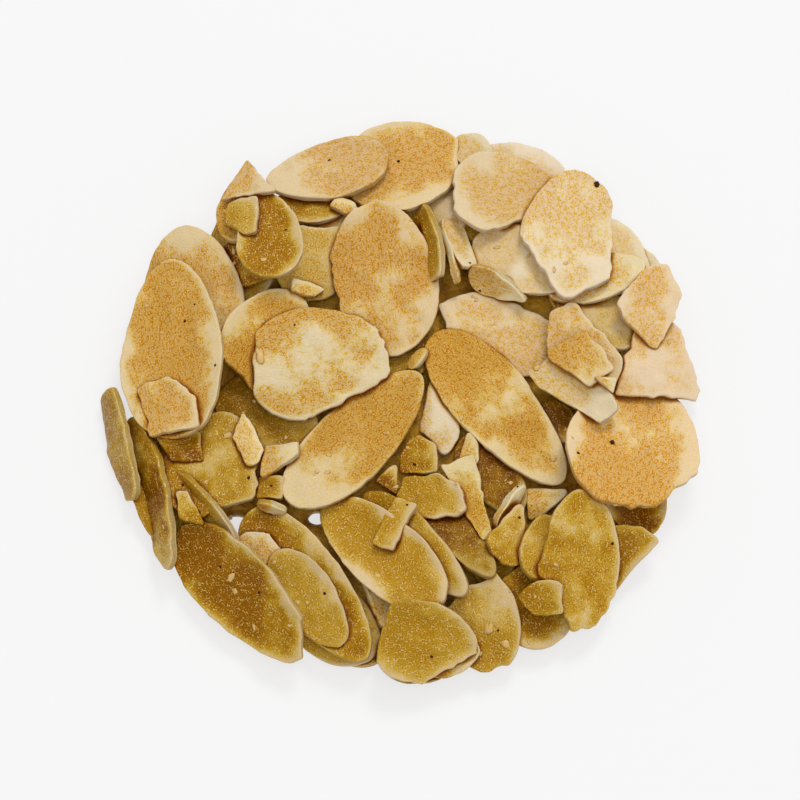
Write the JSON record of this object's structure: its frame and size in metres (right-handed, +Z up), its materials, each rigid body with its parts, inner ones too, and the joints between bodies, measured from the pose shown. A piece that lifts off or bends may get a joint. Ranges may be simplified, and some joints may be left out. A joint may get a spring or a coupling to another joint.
{
  "type": "almond cookie",
  "caption": "Flat round cookie of thin almond slices, whole and broken, heaped and baked together in a little golden batter; it lies on its flat underside.",
  "frame": {"origin": "under the middle of the cookie's outline, on the surface that it lies on", "axes": "+Z up out of the cookie's top, +X to the right and +Y away from the camera of the picture"},
  "size_m": [0.0756, 0.0742, 0.0095],
  "materials": {
    "toasted_almond": "baked, pale cream at the rims of the slices and golden brown on their faces"
  },
  "bodies": {
    "root": {"almond_cookie": "toasted_almond"}
  },
  "joints": []
}
